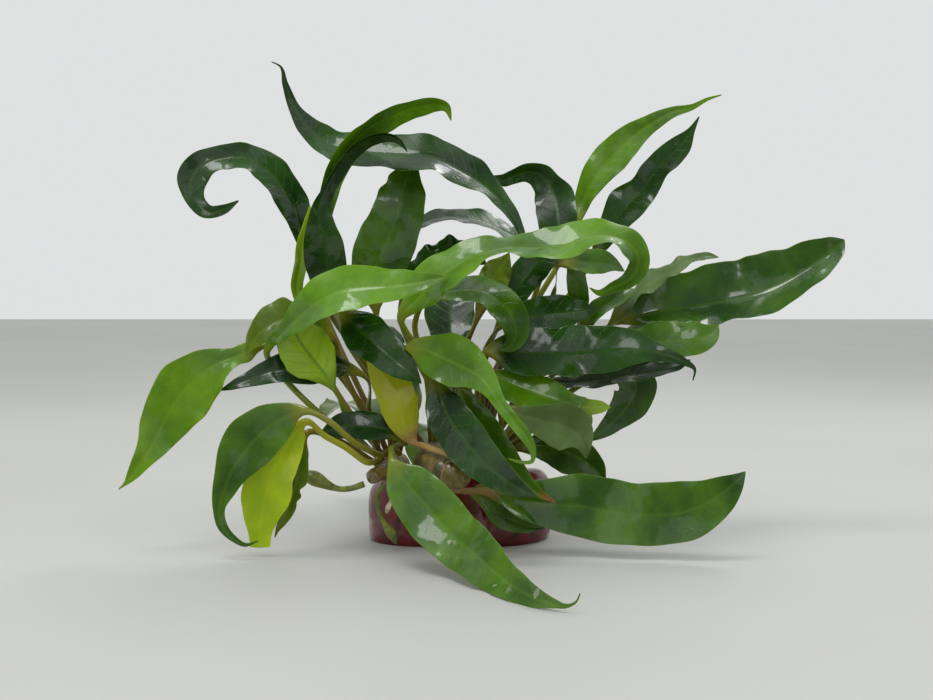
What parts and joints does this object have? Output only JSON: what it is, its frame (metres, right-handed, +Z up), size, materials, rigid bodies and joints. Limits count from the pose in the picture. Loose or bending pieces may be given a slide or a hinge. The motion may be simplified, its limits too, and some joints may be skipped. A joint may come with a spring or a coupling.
{
  "type": "anubias on stone",
  "caption": "Clump of a water plant with long strap-shaped wet leaves on thin stalks, growing from creeping stems on a low dark red stone with a flat underside.",
  "frame": {"origin": "middle of the stone's flat underside", "axes": "+Z up from the stone's underside, -Y towards the side that the picture shows, +X to that side's right"},
  "size_m": [0.3161, 0.2725, 0.2131],
  "materials": {
    "stone": "glossy, dark red, smooth, wet",
    "rhizome": "satin, brown green, knobbly, wet",
    "root": "satin, olive green, wet",
    "cream": "satin, cream, wet",
    "mid": "glossy, mid green, wet",
    "dark": "glossy, dark green, wet",
    "bright": "glossy, fresh green, wet",
    "bigwet": "glossy, dark green, wet with a pale sheen",
    "grey": "satin, grey green, wet",
    "olive": "glossy, olive green, wet",
    "lime": "glossy, lime green, wet",
    "limebig": "glossy, lime green, wet",
    "underside": "satin, pale lime underside, wet",
    "yellow": "satin, olive yellow, wet",
    "cut": "glossy, yellow green, wet, tip cut off",
    "midwet": "glossy, mid green, wet with a pale sheen",
    "front": "satin, mid green with whitish blotches, wet"
  },
  "bodies": {
    "root": {"stone": "stone", "rhizome_left": "rhizome", "rhizome_middle": "rhizome", "rhizome_right": "rhizome", "root_green": "root", "root_cream": "cream", "root_long": "root", "leaf_back_6": "mid", "leaf_back_5": "dark", "leaf_back_1": "dark", "leaf_back_2": "dark", "leaf_back_3": "mid", "leaf_back_4": "mid", "leaf_rear_dark": "dark", "leaf_rear_lime": "bright", "leaf_rear_arch": "dark", "leaf_rear_thin": "dark", "leaf_mid_ruffled": "dark", "leaf_mid_strip": "mid", "leaf_right_under": "dark", "leaf_right_big": "bigwet", "leaf_right_wavy": "grey", "leaf_right_small": "mid", "leaf_right_curled": "mid", "leaf_low_rounded": "mid", "leaf_right_blotched": "mid", "leaf_right_strip": "dark", "leaf_upright_broad": "mid", "leaf_top_long": "dark", "leaf_mid_hooked": "mid", "leaf_mid_steep": "dark", "leaf_mid_sheen": "dark", "leaf_mid_crumpled": "olive", "leaf_low_round": "lime", "leaf_low_bright": "bright", "leaf_low_grey": "grey", "leaf_right_level": "dark", "leaf_mid_tube": "mid", "leaf_top_loop": "dark", "leaf_top_sliver": "lime", "leaf_top_hook": "bright", "leaf_top_rolled": "dark", "leaf_left_boat": "dark", "leaf_left_lime": "limebig", "leaf_left_notched": "olive", "leaf_left_underside": "underside", "leaf_left_tucked": "dark", "leaf_centre_yellow": "yellow", "leaf_centre_dark": "dark", "leaf_left_ragged": "olive", "leaf_left_cut": "cut", "leaf_left_hanging": "mid", "leaf_front_long": "bright", "leaf_front_arch": "bright", "leaf_low_small": "mid", "leaf_right_low": "midwet", "leaf_centre_brown_tip": "mid", "leaf_centre_broad": "dark", "leaf_centre_drip": "bright", "leaf_front_floor": "front"}
  },
  "joints": []
}
